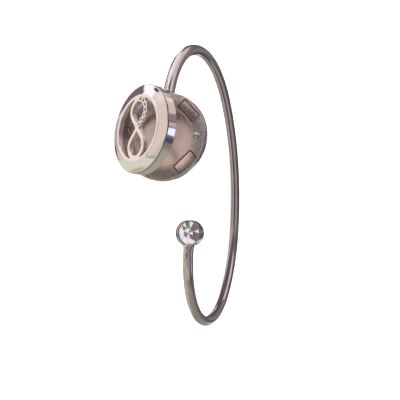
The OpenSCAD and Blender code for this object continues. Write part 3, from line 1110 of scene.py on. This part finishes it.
def cut_lid(piece):
    """Cuts the room for the ears and their straps, and the pip's socket, into the lid's back."""
    knuckles = Shape(LID)
    straps = Shape(LID)
    knuckle = circle(KNUCKLE_R + ROOM, CUTTER_SIDES, (HINGE_X, 0))
    far = STRAP_X + ROOM
    high = STRAP_H + ROOM
    strap = rounded([(HINGE_X, -ROOM, 0), (far, -ROOM, 0), (far, high, ROOM_ROUND),
                     (HINGE_X, high, 0)], True)
    for sense in (1, -1):
        low, up = sorted([sense * (EAR_Y - SIDE_GAP), sense * (HINGE_L / 2 + SIDE_GAP)])
        knuckles.block(knuckle, low, up, CUTTER_ROUND, lay=upright)
        straps.block(strap, low + APART, up - APART, CUTTER_ROUND, lay=upright)
    straps.lathe([Vector(p) for p in ((0, -SOCKET_H), (SOCKET_R, -SOCKET_H),
                                      (SOCKET_R, SOCKET_H), (0, SOCKET_H))],
                 SMALL_ROUND, at=(PIP_X, 0))
    cut(piece, knuckles)
    cut(piece, straps)


def cut(piece, cutter):
    """Takes the cutter's shape away from the piece."""
    mesh = cutter.data("cutter")
    mesh.transform(cutter.place)
    tool = placed("cutter", mesh)
    taken = piece.modifiers.new("cut", "BOOLEAN")
    taken.operation = "DIFFERENCE"
    taken.solver = "EXACT"
    taken.object = tool
    bpy.context.view_layer.update()
    graph = bpy.context.evaluated_depsgraph_get()
    result = bpy.data.meshes.new_from_object(piece.evaluated_get(graph))
    piece.modifiers.remove(taken)
    old = piece.data
    piece.data = result
    bpy.data.meshes.remove(old)
    bpy.data.objects.remove(tool)
    bpy.data.meshes.remove(mesh)
    result.name = piece.name


def on_strand(run):
    """Point along the upper right strand, from the crossing to the top of the loop."""
    if run < BAR_L:
        return Vector((run * sin(HALF_ANGLE), run * cos(HALF_ANGLE)))
    angle = (run - BAR_L) / LOOP_R - HALF_ANGLE
    return Vector((LOOP_R * cos(angle), LOOP_Y + LOOP_R * sin(angle)))


def make_small_rings(steel):
    """The row of small open rings that makes the upper right strand."""
    shape = Shape(LID)
    low = LID_H - RING_H
    corners = ((RING_HOLE_R, low), (RING_R, low), (RING_R, LID_H), (RING_HOLE_R, LID_H))
    profile = rounded([(*corner, RING_ROUND) for corner in corners], True)
    for k in range(RING_COUNT):
        run = FIRST_RING + k * (LAST_RING - FIRST_RING) / (RING_COUNT - 1)
        shape.lathe(profile + profile[:1], SMALL_ROUND, at=on_strand(run))
    shape.finish("lid_small_rings", [steel], ["lid"], "lid", SMALL_SHARP)


def make_knuckle(steel):
    """Middle knuckle of the hinge, with the web that carries it on the lid."""
    shape = Shape(LID)
    web_x = HINGE_X + KNUCKLE_WEB_L
    turn = 3 * pi / 2 + asin(LID_GAP / KNUCKLE_R)
    knuckle = arc((HINGE_X, 0), KNUCKLE_R, pi / 2, turn, KNUCKLE_STEPS)
    outline = knuckle + [Vector((web_x, LID_GAP)), Vector((web_x, KNUCKLE_R))]
    shape.block(outline, -MIDDLE_L / 2, MIDDLE_L / 2, KNUCKLE_ROUND, lay=upright,
                holes=[circle(PIN_R + KNUCKLE_PLAY, SMALL_ROUND, (HINGE_X, 0))])
    shape.finish("lid_knuckle", [steel], ["lid"], "lid", SMALL_SHARP)


# Stage, camera and light


def view_axes():
    """Right, up and back (towards the camera) of the photograph's view."""
    flat_back = Vector((cos(VIEW_AZIMUTH), sin(VIEW_AZIMUTH), 0))
    back = flat_back * cos(VIEW_ELEVATION) + Vector((0, 0, sin(VIEW_ELEVATION)))
    level = Vector((-sin(VIEW_AZIMUTH), cos(VIEW_AZIMUTH), 0))
    right = level * cos(VIEW_ROLL) + back.cross(level) * sin(VIEW_ROLL)
    return right, back.cross(right), back


RIGHT, UP, BACK = view_axes()


def make_camera():
    data = bpy.data.cameras.new("camera")
    data.lens = LENS
    data.sensor_width = SENSOR
    data.clip_start = CLIP_START
    data.clip_end = CLIP_END
    camera = placed("camera", data)
    camera.matrix_world = axes(RIGHT, UP, BACK, VIEW_TARGET + BACK * VIEW_DISTANCE)
    bpy.context.scene.camera = camera


def make_floor():
    """Wide pale floor. Polished metal doesn't mirror it, so that the studio shows in the metal."""
    half = FLOOR_HALF
    mesh = bpy.data.meshes.new("floor")
    mesh.from_pydata([(-half, -half, 0), (half, -half, 0), (half, half, 0), (-half, half, 0)],
                     [], [(0, 1, 2, 3)])
    floor = placed("floor", mesh)
    hide(floor, "glossy", "transmission", "shadow")
    material = bpy.data.materials.new("floor_white")
    tree = emptied(material)
    matt = node(tree, "BsdfDiffuse", {"Color": FLOOR_TONE}).outputs[0]
    glow = node(tree, "Emission", {"Strength": FLOOR_GLOW}).outputs[0]
    both = node(tree, "AddShader", {0: matt, 1: glow}).outputs[0]
    node(tree, "OutputMaterial", {"Surface": both})
    mesh.materials.append(material)


def make_card(name, corners, faces, tones, shares, for_stone=False):
    """A card with a tone and a strength at each corner. Only metal, or the stone, mirrors it."""
    mesh = bpy.data.meshes.new(name)
    mesh.from_pydata([c[:] for c in corners], [], faces)
    keep(mesh, "tone", tones)
    keep(mesh, "share", [[share] * 3 for share in shares])
    card = placed(name, mesh)
    hide(card, "camera", "diffuse", "shadow", "glossy" if for_stone else "transmission")
    material = bpy.data.materials.new(name + "_tone")
    tree = emptied(material)
    tone = node(tree, "Attribute", attribute_name="tone").outputs["Vector"]
    share = node(tree, "Attribute", attribute_name="share").outputs["Fac"]
    lit = node(tree, "Emission", {"Color": tone}).outputs[0]
    clear = node(tree, "BsdfTransparent").outputs[0]
    behind = node(tree, "NewGeometry").outputs["Backfacing"]
    front = node(tree, "Math", {0: share, 1: behind}, operation="SUBTRACT").outputs[0]
    mixed = node(tree, "MixShader", {0: front, 1: clear, 2: lit}).outputs[0]
    node(tree, "OutputMaterial", {"Surface": mixed})
    mesh.materials.append(material)


def make_flag():
    """Dark card, mirrored by the low part of the wire."""
    corners = [VIEW_TARGET + (RIGHT * r + UP * FLAG_UP + BACK * b) * MM for r, b in FLAG_CORNERS]
    make_card("flag", corners, [tuple(range(len(corners)))], [FLAG_TONE] * len(corners),
              [1] * len(corners))


def make_glint():
    """Bright card in front of the stone, which its silvered facets mirror."""
    way = (RIGHT * GLINT_WAY[0] + UP * GLINT_WAY[1] + BACK * GLINT_WAY[2]).normalized()
    side = UP.cross(way).normalized()
    at = CUP.translation + way * GLINT_AWAY * MM
    corners = [at + (side * a + way.cross(side) * b) * GLINT_HALF * MM
               for a, b in ((-1, -1), (-1, 1), (1, 1), (1, -1))]
    make_card("glint", corners, [(0, 1, 2, 3)], [GLINT_TONE] * 4, [1] * 4, for_stone=True)


def make_strips():
    """Narrow cards, each bent along the far stretch of the wire, that face it."""
    eye = VIEW_TARGET + BACK * VIEW_DISTANCE
    stretch = [row for row in wire_course() if STRIPS_FROM <= row[0] <= STRIPS_TO]
    corners, faces, tones, shares = [], [], [], []
    for low, high, tone in STRIPS:
        for place, (distance, point, heading) in enumerate(stretch):
            from_end = min(distance - STRIPS_FROM, STRIPS_TO - distance)
            at = PLAN @ point
            ahead = (PLAN.to_3x3() @ Vector((cos(heading), sin(heading), 0))).normalized()
            front = ((eye - at) - ahead * (eye - at).dot(ahead)).normalized()
            side = ahead.cross(front)
            if side.dot(RIGHT) < 0:
                side = -side
            for share in (low, high):
                turn = 2 * asin(share)
                corners.append(at + (side * sin(turn) + front * cos(turn)) * STRIP_REACH * MM)
                tones.append(tone)
                shares.append(min(1, from_end / STRIPS_FADE))
            if place > 0:
                k = len(corners) - 4
                quad = [k, k + 1, k + 3, k + 2]
                edge_one = corners[k + 1] - corners[k]
                edge_two = corners[k + 2] - corners[k]
                inwards = edge_one.cross(edge_two).dot(at - corners[k]) > 0
                faces.append(quad if inwards else quad[::-1])
    make_card("strips", corners, faces, tones, shares)


def make_world():
    """Studio of soft cards, seen in reflections and as light. A camera ray sees plain white."""
    world = bpy.data.worlds.new("studio")
    bpy.context.scene.world = world
    tree = emptied(world)
    way = node(tree, "TexCoord").outputs["Generated"]
    between = node(tree, "VectorMath", {0: way, 1: BACK}, operation="ADD").outputs[0]
    facing = node(tree, "VectorMath", {0: between}, operation="NORMALIZE").outputs[0]
    across, along = [node(tree, "VectorMath", {0: facing, 1: axis},
                          operation="DOT_PRODUCT").outputs["Value"] for axis in (RIGHT, UP)]
    place = node(tree, "CombineXYZ", {"X": across, "Y": along}).outputs[0]
    tone = (*ROOM_TONE, 1)
    for card in CARDS:
        laid = node(tree, "Mapping", {
            "Vector": place, "Location": (*card[CARD_AT], 0),
            "Rotation": (0, 0, radians(card[CARD_TURN])), "Scale": (*card[CARD_HALF], 1),
        }, vector_type="TEXTURE").outputs[0]
        away = node(tree, "VectorMath", {0: laid}, operation="LENGTH").outputs["Value"]
        share = node(tree, "MapRange", {
            "Value": away, "From Min": 1 + card[CARD_SOFT], "From Max": 1 - card[CARD_SOFT],
        }, interpolation_type="SMOOTHSTEP").outputs[0]
        tone = node(tree, "MixRGB",
                    {"Fac": share, "Color1": tone, "Color2": (*card[CARD_TONE], 1)}).outputs[0]
    studio = node(tree, "Background", {"Color": tone}).outputs[0]
    plain = node(tree, "Background", {"Color": (1, 1, 1, 1)}).outputs[0]
    seen = node(tree, "LightPath").outputs["Is Camera Ray"]
    mixed = node(tree, "MixShader", {0: seen, 1: studio, 2: plain}).outputs[0]
    node(tree, "OutputWorld", {"Surface": mixed})


def make_light():
    """One wide soft lamp overhead. It lights the floor and isn't mirrored by the metal."""
    data = bpy.data.lights.new("overhead", "AREA")
    data.shape = "DISK"
    data.size = LAMP_SIZE
    data.energy = LAMP_ENERGY
    lamp = placed("overhead", data)
    lamp.location = (0, 0, LAMP_Z)
    hide(lamp, "glossy", "transmission", "camera")


def main():
    make_camera()
    make_floor()
    make_light()
    make_world()
    make_flag()
    make_glint()
    make_strips()
    bpy.context.scene.view_settings.view_transform = "Standard"
    steel = polished_steel("cuff_polished", (0.52, 0.49, 0.49), (0.62, 0.58, 0.58))
    bright = polished_steel()
    make_wire()
    make_base([steel, brushed_steel(), recess_steel(), pocket_steel_painted_shade()])
    make_pip(steel)
    make_ears(bright)
    make_pin(bright)
    make_magnets()
    make_cup([steel, bright])
    make_stone()
    make_foil()
    make_lid([bright, satin_steel("satin_steel", (0.7, 0.64, 0.61), (0.84, 0.77, 0.74)),
              # darker copy of the satin steel for the hollow: painted shade
              satin_steel("hollow_steel_painted_shade", (0.3, 0.26, 0.27), (0.4, 0.35, 0.36)),
              # dark copy of polished steel for the rim's edge: a painted dark reflection
              polished_steel("edge_painted_dark_reflection", (0.3, 0.27, 0.3), (0.36, 0.33, 0.36))])
    make_small_rings(bright)
    make_knuckle(bright)


main()
